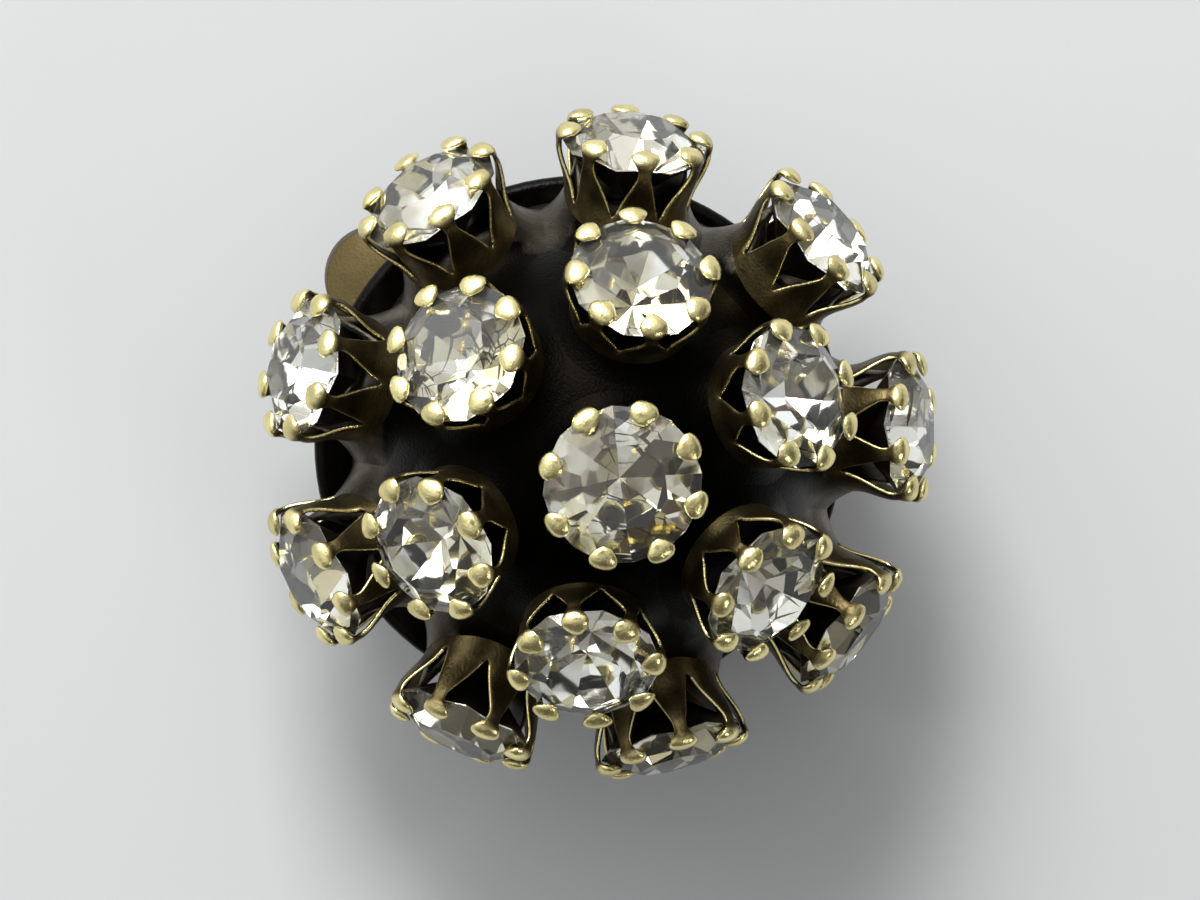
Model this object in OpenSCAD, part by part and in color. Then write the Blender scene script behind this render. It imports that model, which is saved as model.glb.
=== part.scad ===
// Clip-on earring: a dome of cut stones in clawed cups, with a black back plate and a paddle clip.
// It lies on the flat of its clip. The origin is on the surface it lies on, below the dome's middle.
// +Z is the way the dome faces, +Y the way the paddle points. Millimetres.

/* [Stones] */
// Diameter of a stone at its girdle
stone_d = 5.3; // [5.0:0.05:5.3]
// The same for the one in the middle, which is larger than the rest
centre_d = 5.8; // [5.3:0.05:5.8]
// Width of the table, corner to corner
table_d = 3.0; // [2.6:0.1:3.4]
// Height of the crown over the girdle
crown_h = 0.8; // [0.6:0.05:0.8]
// Depth of the pavilion under the girdle
pavilion_h = 1.8; // [1.4:0.05:1.8]
// Thickness of the girdle
girdle_t = 0.12; // [0.08:0.01:0.16]

/* [Cups] */
// How far a claw's tip reaches over the stone
claw_reach = 0.42; // [0.3:0.02:0.5]
// Thickness of the metal sheet of the cups
sheet_t = 0.33; // [0.3:0.01:0.36]
// Room between a stone and its cup
stone_gap = 0.07; // [0.05:0.01:0.1]
// Number of claws on a cup
claws = 8; // [8:2:10]
// Width of the notch between two claws at the rim
notch_w = 1.15; // [1.0:0.05:1.3]
// How far under the girdle the notches start
notch_depth = 2.05; // [1.9:0.05:2.2]
// Outer radius of a cup's neck
neck_r = 2.33; // [2.2:0.01:2.4]
// Radius of the solder fillet at the foot of a cup
foot_fillet = 0.5; // [0.3:0.1:0.6]

/* [Dome] */
// Outer radius of the domed shell
shell_r = 8.25; // [8.1:0.05:8.3]
// Thickness of the domed shell
shell_t = 0.5; // [0.4:0.05:0.6]
// Outer radius of the shell's skirt, which the outer cups stand on
skirt_r = 8.9; // [8.8:0.05:9.2]
// Distance of the centre stone's girdle from the dome's middle
centre_reach = 10.92; // [10.8:0.01:11.0]
// The same for the inner ring of stones
inner_reach = 10.29; // [10.29:0.01:10.5]
// The same for the outer ring of stones
outer_reach = 11.36; // [11.3:0.01:11.5]
// Number of stones in the inner ring
inner_count = 6; // [5:1:6]
// Number of stones in the outer ring
outer_count = 9; // [8:1:9]
// Angle of the inner ring down from the top
inner_angle = 43.8; // [43:0.1:45]
// Angle of the outer ring down from the top
outer_angle = 81; // [80.5:0.1:81.5]
// Turn of the inner ring against the outer one
inner_twist = -1.6; // [-3:0.1:3]

/* [Back plate] */
// Radius of the back plate
plate_r = 9.8; // [9.5:0.1:9.9]
// Thickness of the back plate
plate_t = 0.6; // [0.5:0.05:0.8]
// Radius of the bead round the plate's edge
bead_r = 0.32; // [0.3:0.01:0.34]
// How far the plate sits off the dome's middle, as it was soldered
plate_off = 0.45; // [0:0.05:0.5]

/* [Clip] */
// Depth of the clip behind the plate, to the flat of the paddle
clip_depth = 5.6; // [5.5:0.1:6.5]
// Thickness of the paddle's metal
paddle_t = 0.9; // [0.8:0.05:1.0]
// Greatest width of the paddle
paddle_w = 8.4; // [7:0.1:9]
// Radius of the paddle's rounded end
paddle_end_r = 2.0; // [1.6:0.1:2.4]
// Distance of the paddle's end from the dome's middle
paddle_reach = 11.5; // [11.2:0.1:11.8]
// Distance of the hinge from the dome's middle
hinge_reach = 6.2; // [6:0.1:6.6]
// Radius of the hinge pin
pin_r = 0.5; // [0.4:0.05:0.6]
// Running clearance round the pin
pin_gap = 0.05; // [0.03:0.01:0.08]
// Thickness of each of the two ears that carry the pin
ear_t = 0.8; // [0.6:0.1:1.0]
// Width of the knuckle between the ears
knuckle_w = 5.2; // [4.6:0.1:5.6]
// Room between the paddle's pad and the plate, and beside the knuckle
clip_gap = 0.15; // [0.1:0.05:0.3]

/* [Hidden] */
$fn = 64;
eps = 0.01;
// Heights of the plate, and of the dome's middle, over the surface
plate_z = clip_depth;
dish_gap = 0.05;
// Heights on the shell from the dome's middle: its foot, the skirt's top, and the shoulder over it
shell_foot = -1.15;
skirt_top = 0.2;
shoulder_z = 2.1;
// How far the shoulder is drawn in from the round of the shell
shoulder_in = 0.35;
dome_z = plate_z + plate_t + dish_gap - shell_foot;
stone_r = stone_d / 2;
centre_r = centre_d / 2;
// The table, and the rings of the crown and pavilion where facets meet, as shares of the girdle
table_share = table_d / stone_d;
crown_mid_share = 0.78;
pavilion_mid_share = 0.56;
facets = 8;
// A cup's waist under the girdle, the height at which its notches are full width, and the least
// distance from the dome's middle at which they start
waist_z = -1.5;
notch_full_z = -0.4;
notch_floor = 8.75;
// Heights under the girdle where the rim starts to bulge, outside and inside
bulge_z = -0.35;
seat_z = -0.3;
// Radius of the metal where a claw's tip is rounded off, and how far it has bent in at half the crown
claw_round = 0.1;
claw_bend = 0.42 * sheet_t;
// Room between the claws and the crown, and the height over the girdle where they start to bend in
crown_gap = 1.4 * stone_gap;
bend_z = girdle_t / 2 + 2.7 * stone_gap;
// How far a neck reaches through the shell's metal before it is cut off inside
neck_sink = 1.3 * shell_t;
// The way the plate is off, from +X towards +Y
plate_off_way = 138;
// The step of the plate that seats inside the shell's foot
step_gap = 0.1;
step_r = skirt_r - shell_t - step_gap;
step_t = 0.8;
step_h = 0.5;
// The hinge line over the surface, and the round ends of the knuckle, the ears and the pin
knuckle_r = 1.45;
floor_gap = 0.05;
hinge_z = knuckle_r + floor_gap;
ear_r = 1.3;
pin_head_r = 0.85;
pin_head_t = 0.3;
// Bends of the paddle: up to the pad beside the plate, then away from the plate to its end
paddle_bend = 65;
paddle_flare = 30;
bend_r = 2.5;
flare_r = 2.2;
bend_step = 8;
flat_run = 9.4;
end_run = 3.2;
lift = clip_depth - clip_gap - paddle_t;
rise_run = (lift - (bend_r + flare_r) * (1 - cos(paddle_bend))) / sin(paddle_bend);
belly_y = 2.5;
neck_end = 4.4;

ring_inner = [for (i = [0 : inner_count - 1]) 30 + inner_twist - i * 360 / inner_count];
ring_outer = [for (i = [0 : outer_count - 1]) 30 - i * 360 / outer_count];
// Turns of the cups about their own axes, as they were soldered by hand
centre_turn = 21;
inner_turns = [11, 40, 32, 19, 12, 26];
outer_turns = [5, 20, 12, 30, 38, 34, 23, 30, 0];
// How far each cup leans up towards the dome's top, about its stone's middle
inner_leans = [0, 0, 0, 8, 0, 0];
outer_leans = [4, 8, 10, 9, 9, 8, 9, 9, 9];
inner_names = [for (i = [1 : inner_count]) str("stone_inner_", i)];
outer_names = [for (i = [1 : outer_count]) str("stone_outer_", i)];

// Puts its children on the dome: reach from the middle, angle down from the top, the way round,
// the lean of a cup and its stone towards the top, and their turn about their own axis
module on_dome(reach, down, round, lean, turn) {
    translate([0, 0, dome_z]) rotate([0, down, round]) translate([0, 0, reach]) rotate([0, -lean, 0])
        rotate(turn) children();
}

module on_centre() on_dome(centre_reach, 0, 0, 0, centre_turn) children();
module on_inner(i) on_dome(inner_reach, inner_angle, ring_inner[i], inner_leans[i], inner_turns[i])
    children();
module on_outer(i) on_dome(outer_reach, outer_angle, ring_outer[i], outer_leans[i], outer_turns[i])
    children();

// One cut stone, its girdle's middle at the origin and its table facing up
module stone(r) {
    table_r = r * table_share;
    crown_mid_r = r * crown_mid_share;
    pavilion_mid_r = r * pavilion_mid_share;
    step = 360 / facets;
    slope = cos(step / 2);
    top_z = girdle_t / 2;
    mid_z = top_z + crown_h * (r - crown_mid_r * slope) / (r - table_r);
    low_z = -top_z - pavilion_h * (1 - pavilion_mid_share * slope);
    table = [for (k = [0 : facets - 1]) [table_r * cos(k * step), table_r * sin(k * step), top_z + crown_h]];
    crown = [for (k = [0.5 : facets]) [crown_mid_r * cos(k * step), crown_mid_r * sin(k * step), mid_z]];
    girdle = [for (z = [top_z, -top_z]) for (k = [0 : 2 * facets - 1])
        [r * cos(k * step / 2), r * sin(k * step / 2), z]];
    pavilion = [for (k = [0.5 : facets])
        [pavilion_mid_r * cos(k * step), pavilion_mid_r * sin(k * step), low_z]];
    culet = [0, 0, -top_z - pavilion_h];
    c0 = facets;
    g0 = 2 * facets;
    h0 = 4 * facets;
    p0 = 6 * facets;
    last = 7 * facets;
    faces = concat(
        [[for (k = [facets - 1 : -1 : 0]) k]],
        [for (k = [0 : facets - 1]) let (n = (k + 1) % facets, m = (k + facets - 1) % facets,
            a = g0 + 2 * k, b = a + 1, c = g0 + 2 * n,
            d = h0 + 2 * k, e = d + 1, f = h0 + 2 * n)
            each [
                [k, n, c0 + k],
                [k, c0 + k, a, c0 + m],
                [c0 + k, b, a],
                [c0 + k, c, b],
                [a, b, e, d],
                [b, c, f, e],
                [p0 + k, d, e],
                [p0 + k, e, f],
                [last, p0 + m, d, p0 + k]
            ]]);
    polyhedron(concat(table, crown, girdle, pavilion, [culet]), faces, convexity = 4);
}

// One cup with its claws bent over the crown of a stone of radius r, its origin as the stone's
module cup(reach, r) {
    seat_r = r + stone_gap;
    rim_r = seat_r + sheet_t;
    waist_r = neck_r + claw_round;
    tip_r = r - claw_reach;
    tip_z = girdle_t / 2 + claw_reach * crown_h / (r * (1 - table_share)) + crown_gap;
    // The foot's fillet meets the shell where it has curved away; the sole ends inside its metal
    foot_z = sqrt(pow(shell_r, 2) - pow(neck_r + foot_fillet * 2 / 3, 2)) - reach;
    sole_z = shell_r - neck_sink - reach;
    foot = [for (a = [250, 225, 200, 180])
        [neck_r + foot_fillet * (1 + cos(a)), foot_z + foot_fillet * (0.9 + sin(a))]];
    // The rim bulges at the girdle and bends in over the crown to the tip
    outside = [[waist_r, waist_z], [rim_r - claw_round / 2, bulge_z], [rim_r, claw_round],
               [rim_r - claw_bend, crown_h / 2], [tip_r + claw_round, tip_z + sheet_t],
               [tip_r - claw_round / 2, tip_z + sheet_t / 2]];
    inside = [[tip_r, tip_z], [seat_r - stone_gap, bend_z], [seat_r, girdle_t / 2],
              [seat_r, seat_z], [waist_r - sheet_t, waist_z], [neck_r - sheet_t, sole_z]];
    difference() {
        rotate_extrude() polygon(concat([[foot[0][0], sole_z]], foot, outside, inside));
        notches(max(-notch_depth, notch_floor - reach));
    }
}

// The notches between the claws: each bar cuts two, one on either side
module notches(apex_z) {
    top = 2 * crown_h;
    for (k = [0 : claws / 2 - 1]) rotate(180 / claws + k * 360 / claws)
        rotate([90, 0, 0]) linear_extrude(height = 2 * stone_d, center = true)
            polygon([[0, apex_z], [notch_w / 2, notch_full_z], [notch_w / 2, top], [-notch_w / 2, top],
                     [-notch_w / 2, notch_full_z]]);
}

// A round cap that spreads to a short skirt, drawn in by inset: the shell's outside, or its hollow
module shell_form(inset, foot) {
    rotate_extrude() intersection() {
        union() {
            circle(r = shell_r - inset);
            polygon([[0, foot], [skirt_r - inset, foot], [skirt_r - inset, skirt_top - inset / 2],
                     [shell_r - inset - shoulder_in, shoulder_z - inset / 2], [0, shoulder_z - inset / 2]]);
        }
        translate([0, foot]) square([2 * shell_r, 2 * shell_r]);
    }
}

module claw_dome() color("#4a3a22") {
    difference() {
        union() {
            translate([0, 0, dome_z]) shell_form(0, shell_foot);
            on_centre() cup(centre_reach, centre_r);
            for (i = [0 : inner_count - 1]) on_inner(i) cup(inner_reach, stone_r);
            for (i = [0 : outer_count - 1]) on_outer(i) cup(outer_reach, stone_r);
        }
        translate([0, 0, dome_z]) shell_form(shell_t, shell_foot - 2);
        // The outer cups' necks are cut off level with the shell's foot
        cylinder(r = plate_r + plate_off + 0.2, h = dome_z + shell_foot);
    }
}

module stone_centre() color("#d9dbd6") on_centre() stone(centre_r);
module stone_inner(i) color("#d9dbd6") on_inner(i) stone(stone_r);
module stone_outer(i) color("#d9dbd6") on_outer(i) stone(stone_r);

// The plate has a beaded edge, a step that seats inside the shell, and the two ears of the hinge
module back_plate() color("#171513") {
    difference() {
        union() {
            translate([plate_off * cos(plate_off_way), plate_off * sin(plate_off_way), plate_z])
            rotate_extrude() union() {
                square([plate_r - bead_r, plate_t]);
                translate([plate_r - bead_r, plate_t / 2]) circle(r = bead_r);
            }
            translate([0, 0, plate_z + plate_t - eps]) difference() {
                cylinder(r = step_r, h = step_h);
                translate([0, 0, -eps]) cylinder(r = step_r - step_t, h = 2 * step_h);
            }
            for (side = [-1, 1]) ear(side);
        }
        hinge_line(2 * paddle_w, pin_r + pin_gap);
    }
}

// A round bar along the hinge line
module hinge_line(length, r) {
    translate([0, -hinge_reach, hinge_z]) rotate([0, 90, 0]) cylinder(r = r, h = length, center = true);
}

// One ear of the hinge, on the side -1 or 1
module ear(side) {
    inner_x = knuckle_w / 2 + clip_gap;
    translate([side * (inner_x + ear_t / 2), -hinge_reach, 0]) {
        translate([-ear_t / 2, -ear_r, hinge_z]) cube([ear_t, 2 * ear_r, plate_z - hinge_z + eps]);
        translate([0, 0, hinge_z]) rotate([0, 90, 0]) cylinder(r = ear_r, h = ear_t, center = true);
    }
}

// The bent strip of the paddle from the hinge on: each run is [length, bend radius, bend angle]
strip_runs = [
    [flat_run, 0, 0],
    [0, bend_r, paddle_bend],
    [rise_run, 0, 0],
    [0, flare_r, -paddle_bend - paddle_flare],
    [end_run, 0, 0]
];

// Walks along the middle of the strip from run i on, as points [y, z, heading]
function walk(y, z, head, i = 0) =
    i == len(strip_runs) ? [[y, z, head]] :
    let (length = strip_runs[i][0], turn = strip_runs[i][2], arc = strip_runs[i][1] * sign(turn),
         steps = ceil(abs(turn) / bend_step), last = head + turn)
    turn == 0 ? concat([[y, z, head]], walk(y + length * cos(head), z + length * sin(head), head, i + 1))
    : concat([for (k = [0 : steps - 1]) let (h = head + turn * k / steps)
                 [y + arc * (sin(h) - sin(head)), z + arc * (cos(head) - cos(h)), h]],
             walk(y + arc * (sin(last) - sin(head)), z + arc * (cos(head) - cos(last)), last, i + 1));

// The strip in full width
module strip() {
    middle = walk(-hinge_reach, paddle_t / 2, 0);
    top = [for (p = middle) [p[0] - sin(p[2]) * paddle_t / 2, p[1] + cos(p[2]) * paddle_t / 2]];
    under = [for (i = [len(middle) - 1 : -1 : 0]) let (p = middle[i])
        [p[0] + sin(p[2]) * paddle_t / 2, p[1] - cos(p[2]) * paddle_t / 2]];
    rotate([90, 0, 90]) linear_extrude(height = paddle_w, center = true) polygon(concat(top, under));
}

// Plan of the paddle: narrow between the ears, widest in the middle, with a small rounded end
module paddle_plan() {
    hull() {
        translate([0, paddle_reach - paddle_end_r]) circle(r = paddle_end_r);
        translate([0, belly_y]) circle(r = paddle_w / 2);
        translate([-knuckle_w / 2, -neck_end]) square([knuckle_w, 1]);
    }
    translate([-knuckle_w / 2, -hinge_reach]) square([knuckle_w, hinge_reach - neck_end + 1]);
}

module clip_lever() color("#8f8672") {
    difference() {
        union() {
            intersection() {
                strip();
                translate([0, 0, -eps]) linear_extrude(height = plate_z) paddle_plan();
            }
            hinge_line(knuckle_w, knuckle_r);
        }
        hinge_line(2 * paddle_w, pin_r + pin_gap);
    }
}

module hinge_pin() color("#8f8672") {
    span = knuckle_w + 2 * (clip_gap + ear_t + 2 * pin_gap);
    hinge_line(span, pin_r);
    for (side = [-1, 1]) translate([side * (span + pin_head_t) / 2, 0, 0]) hinge_line(pin_head_t, pin_head_r);
}

claw_dome();
stone_centre();
for (i = [0 : inner_count - 1]) stone_inner(i);
for (i = [0 : outer_count - 1]) stone_outer(i);
back_plate();
clip_lever();
hinge_pin();
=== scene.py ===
# %% [markdown]
# The object is a domed clip-on earring of cut glass stones, which lies face up on its closed clip.
# It could be modelled freely and scaled at the end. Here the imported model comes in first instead,
# as a fixed frame: its pieces have their real size and place, and all that is made below is fitted
# to them. Lengths are in millimetres, and become metres where a mesh is made.

# %% Load the frame
import math
import random

import bmesh
import bpy
import numpy as np
from mathutils import Matrix, Vector


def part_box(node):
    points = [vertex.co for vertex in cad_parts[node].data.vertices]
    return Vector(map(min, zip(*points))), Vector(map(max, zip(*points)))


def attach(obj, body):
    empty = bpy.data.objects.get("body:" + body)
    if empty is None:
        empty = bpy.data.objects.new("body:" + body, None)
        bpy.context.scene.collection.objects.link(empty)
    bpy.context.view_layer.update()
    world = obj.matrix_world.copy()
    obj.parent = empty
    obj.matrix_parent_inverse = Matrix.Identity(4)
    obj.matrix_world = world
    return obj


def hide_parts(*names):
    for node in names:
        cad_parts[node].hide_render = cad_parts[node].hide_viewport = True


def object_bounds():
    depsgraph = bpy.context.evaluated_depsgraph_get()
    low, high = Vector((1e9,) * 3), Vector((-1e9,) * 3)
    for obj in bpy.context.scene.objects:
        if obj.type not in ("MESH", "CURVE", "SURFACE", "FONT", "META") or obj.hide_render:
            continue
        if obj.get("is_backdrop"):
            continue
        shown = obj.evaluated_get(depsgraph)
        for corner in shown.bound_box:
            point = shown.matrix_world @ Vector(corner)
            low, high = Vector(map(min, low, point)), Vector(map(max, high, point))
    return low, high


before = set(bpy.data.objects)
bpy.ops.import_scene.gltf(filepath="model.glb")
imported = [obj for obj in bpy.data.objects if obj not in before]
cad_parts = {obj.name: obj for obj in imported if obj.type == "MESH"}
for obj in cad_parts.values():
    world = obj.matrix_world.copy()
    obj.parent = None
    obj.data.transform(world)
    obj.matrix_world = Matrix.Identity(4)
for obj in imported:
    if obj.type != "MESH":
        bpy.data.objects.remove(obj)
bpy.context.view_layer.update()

MM = 0.001
scene = bpy.context.scene

# %% [markdown]
# The stones sit on a dome in three groups: a larger one on top, six round it and nine round the
# rim. A seat is a stone's middle and the way it faces. The cups were soldered by hand, so each is
# turned about its own axis, and the lower ones lean up a little towards the top. Sixteen stones
# could be placed one by one, but a rule for each group says it in a few numbers. They are the
# model's own values, and the boxes of its stones check them.

# %% Seats of the stones
CROWN_H, GIRDLE_T, MODEL_PAVILION_H = 0.8, 0.12, 1.8
REACH = {"centre": 10.92, "inner": 10.29, "outer": 11.36}
DOWN = {"centre": 0, "inner": 43.8, "outer": 81}
TURNS = {
    "centre": [21],
    "inner": [11, 40, 32, 19, 12, 26],
    "outer": [5, 20, 12, 30, 38, 34, 23, 30, 0],
}
LEANS = {
    "centre": [0],
    "inner": [0, 0, 0, 8, 0, 0],
    "outer": [4, 8, 10, 9, 9, 8, 9, 9, 9],
}
FIRST = {"centre": 0, "inner": 28.4, "outer": 30}
dome_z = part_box("stone_centre")[1].z / MM - REACH["centre"] - GIRDLE_T / 2 - CROWN_H
dome_middle = Vector((0, 0, dome_z))


def seat_matrix(ring, i):
    """Takes a stone modelled at the origin, table up, to its place on the dome."""
    about = math.radians(FIRST[ring] - i * 360 / len(TURNS[ring]))
    tilt = Matrix.Rotation(about, 4, "Z") @ Matrix.Rotation(math.radians(DOWN[ring]), 4, "Y")
    lean = Matrix.Rotation(math.radians(-LEANS[ring][i]), 4, "Y")
    turn = Matrix.Rotation(math.radians(TURNS[ring][i]), 4, "Z")
    out = Matrix.Translation((0, 0, REACH[ring]))
    return Matrix.Translation(dome_middle) @ tilt @ out @ lean @ turn


def stone_node(ring, i):
    """The model's name of a stone."""
    return "stone_centre" if ring == "centre" else f"stone_{ring}_{i + 1}"


seats = {}
for ring, turns in TURNS.items():
    for i in range(len(turns)):
        seats[stone_node(ring, i)] = (ring, seat_matrix(ring, i))
own_middle = Vector((0, 0, (CROWN_H - MODEL_PAVILION_H) / 2))
off = 0
for name, (ring, matrix) in seats.items():
    low, high = (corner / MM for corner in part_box(name))
    off = max(off, ((low + high) / 2 - matrix @ own_middle).length)
print("dome's middle at", round(dome_z, 3), "mm")
print("stones off the middles of their boxes by at most", round(off, 2), "mm")

# %% [markdown]
# The view is almost straight down on the dome. A camera could be aimed by three angles, but it is
# clearer to write down two directions, the picture's right and the way back to the camera, and to
# work out the third from them. Small things are photographed from many times their own size away,
# so a long lens on a distant camera gives the same flat perspective. It is as long as it takes for
# the picture to be 44 mm wide at the dome.

# %% Camera
VIEW_RIGHT = Vector((0.592, -0.801, 0.092))
VIEW_BACK = Vector((0.058, 0.156, 0.986)).normalized()
FRAME_W, SENSOR_W = 44.0, 36
CAMERA_AWAY, NEAREST, FURTHEST = 700, 10, 10000
AIM_ABOVE = 2.0
aim = dome_middle + Vector((0, 0, AIM_ABOVE))
view_up = VIEW_BACK.cross(VIEW_RIGHT).normalized()
view_right = view_up.cross(VIEW_BACK).normalized()
camera = bpy.data.objects.new("camera", bpy.data.cameras.new("camera"))
scene.collection.objects.link(camera)
scene.camera = camera
camera.data.sensor_width = SENSOR_W
camera.data.lens = SENSOR_W * CAMERA_AWAY / FRAME_W
camera.data.clip_start = NEAREST * MM
camera.data.clip_end = FURTHEST * MM
place = Matrix((view_right, view_up, VIEW_BACK)).transposed().to_4x4()
place.translation = (aim + VIEW_BACK * CAMERA_AWAY) * MM
camera.matrix_world = place
elevation = math.degrees(math.asin(VIEW_BACK.z))
print("lens", round(camera.data.lens), "mm; elevation", round(elevation, 1), "degrees")

# %% [markdown]
# The earring rests on a plain pale surface. A sheet that curves up at the back could be modelled,
# as in a studio, but seen from above one large flat face is enough. It lies at height 0, where the
# frame has the clip's lowest point. It is marked as stage, so that it isn't counted as a piece of
# the earring.

# %% Floor
FLOOR_W = 4000


def placed_mesh(name, points, faces, smooth=False):
    """A mesh object from points in millimetres, at the origin."""
    mesh = bpy.data.meshes.new(name)
    mesh.from_pydata([Vector(p) * MM for p in points], [], faces)
    mesh.validate()
    for face in mesh.polygons:
        face.use_smooth = smooth
    made = bpy.data.objects.new(name, mesh)
    scene.collection.objects.link(made)
    return made


half = FLOOR_W / 2
corners = [(-half, -half, 0), (half, -half, 0), (half, half, 0), (-half, half, 0)]
floor = placed_mesh("floor", corners, [(0, 1, 2, 3)])
floor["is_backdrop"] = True
print("floor", FLOOR_W, "mm square")

# %% [markdown]
# Materials and Geometry Nodes are both trees of nodes. They are mostly drawn by hand in Blender's
# editors, but a script can write them too. Each node is written here together with the values and
# links of its own sockets, which reads better than all nodes first and all wires afterwards.

# %% Helpers for node trees
def add(tree, kind, sockets=None, **settings):
    """Adds a node. Each socket takes a constant, or another node's output, which is then linked."""
    made = tree.nodes.new(kind)
    for key, value in settings.items():
        setattr(made, key, value)
    for key, value in (sockets or {}).items():
        if isinstance(value, bpy.types.NodeSocket):
            tree.links.new(value, made.inputs[key])
        else:
            made.inputs[key].default_value = value
    return made


def new_group(name, kind, inputs, outputs):
    """A node group with named inputs, each with a starting value, and named outputs."""
    group = bpy.data.node_groups.new(name, kind)
    for label, socket, value in inputs:
        made = group.interface.new_socket(name=label, in_out="INPUT", socket_type=socket)
        if value is not None:
            made.default_value = value
    for label, socket in outputs:
        group.interface.new_socket(name=label, in_out="OUTPUT", socket_type=socket)
    return group, group.nodes.new("NodeGroupInput"), group.nodes.new("NodeGroupOutput")


def math_node(tree, operation, a, b, clamp=False):
    """One step of arithmetic."""
    sockets = {0: a, 1: b}
    return add(tree, "ShaderNodeMath", sockets, operation=operation, use_clamp=clamp).outputs[0]


def mapped(tree, value, start, end, to_start=0, to_end=1, smooth=False):
    """Takes one span of values to another, in a straight line or as a smooth step."""
    sockets = {"Value": value, "From Min": start, "From Max": end}
    sockets |= {"To Min": to_start, "To Max": to_end}
    kind = "SMOOTHSTEP" if smooth else "LINEAR"
    return add(tree, "ShaderNodeMapRange", sockets, interpolation_type=kind).outputs[0]


def mixed(tree, share, first, second):
    """Goes from one colour to another. A colour is three numbers, or a node's output."""
    share_in, first_in, second_in, colour_out = 0, 6, 7, 2
    sockets = {share_in: share}
    for place, colour in ((first_in, first), (second_in, second)):
        sockets[place] = colour if isinstance(colour, bpy.types.NodeSocket) else (*colour, 1)
    return add(tree, "ShaderNodeMix", sockets, data_type="RGBA").outputs[colour_out]


print("helpers for trees:", [h.__name__ for h in (add, new_group, math_node, mapped, mixed)])

# %% [markdown]
# Foil-backed stones and polished claws show the room more than themselves, so it is the lights
# that draw them. A large soft panel stands to the upper left of the picture, a smaller bright one
# near it, and a weak one at the lower right. A low window beyond the top edge is for the stones
# that face away there. Small lamps would only show as dots in the facets, so each of these is a
# square area light that faces the dome.

# %% Soft lights
def softbox(name, right, up, back, away, width, power):
    """A square light, placed by how far to the right, up and back of the dome the camera sees it."""
    data = bpy.data.lights.new(name, "AREA")
    data.size = width * MM
    data.energy = power
    made = bpy.data.objects.new(name, data)
    scene.collection.objects.link(made)
    way = (view_right * right + view_up * up + VIEW_BACK * back).normalized()
    made.location = (dome_middle + way * away) * MM
    made.rotation_mode = "QUATERNION"
    made.rotation_quaternion = way.to_track_quat("Z", "Y")
    return way


bright_side = softbox("sky_panel", -0.55, 0.85, 0.75, 700, 700, 3.1)
softbox("key_light", -0.2, 0.9, 1.0, 420, 150, 2.4)
softbox("low_light", 0.75, -0.75, 0.5, 520, 150, 0.35)
softbox("window", -0.3, 0.95, 0.22, 600, 380, 1.8)
print("bright side", [round(x, 2) for x in bright_side])

# %% [markdown]
# The room itself could be a picture of a studio, but a world made of nodes needs no file. Its
# walls go from bright on the side of the large panel to dim on the other. Where the camera stands
# they are brown and dark, because a photographer leaning over a stone shows in it as a dark star.

# %% Room
DIM_WALL, BRIGHT_WALL = (0.16, 0.155, 0.135), (1.28, 1.32, 1.36)
BRIGHT_FROM, BRIGHT_TO = -0.3, 0.9
DARK_SPOT, SPOT_EDGE, SPOT_FULL = (0.13, 0.10, 0.075), 0.965, 0.985
ROOM_STRENGTH = 0.8


def towards(tree, way, side):
    """How nearly a direction points to a side: 1 where it does, and less the further off it is."""
    product = add(tree, "ShaderNodeVectorMath", {0: way, 1: side}, operation="DOT_PRODUCT")
    return product.outputs["Value"]


world = bpy.data.worlds.new("studio")
world.use_nodes = True
scene.world = world
tree = world.node_tree
way = add(tree, "ShaderNodeTexCoord").outputs["Generated"]
lit = mapped(tree, towards(tree, way, bright_side), BRIGHT_FROM, BRIGHT_TO, smooth=True)
near = mapped(tree, towards(tree, way, VIEW_BACK), SPOT_EDGE, SPOT_FULL)
walls = mixed(tree, near, mixed(tree, lit, DIM_WALL, BRIGHT_WALL), DARK_SPOT)
tree.links.new(walls, tree.nodes["Background"].inputs["Color"])
tree.nodes["Background"].inputs["Strength"].default_value = ROOM_STRENGTH
scene.view_settings.view_transform = "Standard"
print("room", len(tree.nodes), "nodes")

# %% [markdown]
# Every metal part here has the same story: it darkened with age and wore bright where fingers
# and cloth reach. On the shell the same mask also carries painted light: black on top as painted
# shade, and grey bronze low down as painted sheen. Painting each part by hand would tell it four
# times. One shader group tells it once: a mask goes from 0, aged, over 0.5, worn, to 1, bare.
# Blotches make it uneven, and a fine grain is given out for the bump.

# %% Shader group for aged metal
GRAIN_SCALE, GRAIN_ROUGH = 9, 0.14
aged_metal, inside, outside = new_group(
    "aged_metal",
    "ShaderNodeTree",
    [
        ("Bare", "NodeSocketColor", (0.8, 0.6, 0.3, 1)),
        ("Worn", "NodeSocketColor", (0.3, 0.2, 0.1, 1)),
        ("Aged", "NodeSocketColor", (0.1, 0.07, 0.04, 1)),
        ("Wear and painted light", "NodeSocketFloat", 0.5),
        ("Uneven", "NodeSocketFloat", 0.5),
        ("Blotch size", "NodeSocketFloat", 1.0),
        ("Bare roughness", "NodeSocketFloat", 0.25),
        ("Aged roughness", "NodeSocketFloat", 0.5),
    ],
    [("Color", "NodeSocketColor"), ("Roughness", "NodeSocketFloat"), ("Grain", "NodeSocketFloat")],
)
spot = add(aged_metal, "ShaderNodeTexCoord").outputs["Object"]
in_mm = {0: spot, "Scale": 1 / MM}
spot = add(aged_metal, "ShaderNodeVectorMath", in_mm, operation="SCALE").outputs[0]
blotch_scale = math_node(aged_metal, "DIVIDE", 1, inside.outputs["Blotch size"])
blotch = add(aged_metal, "ShaderNodeTexNoise", {"Vector": spot, "Scale": blotch_scale, "Detail": 4})
grain = add(aged_metal, "ShaderNodeTexNoise", {"Vector": spot, "Scale": GRAIN_SCALE, "Detail": 3})
shift = math_node(aged_metal, "SUBTRACT", blotch.outputs["Fac"], 0.5)
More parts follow.
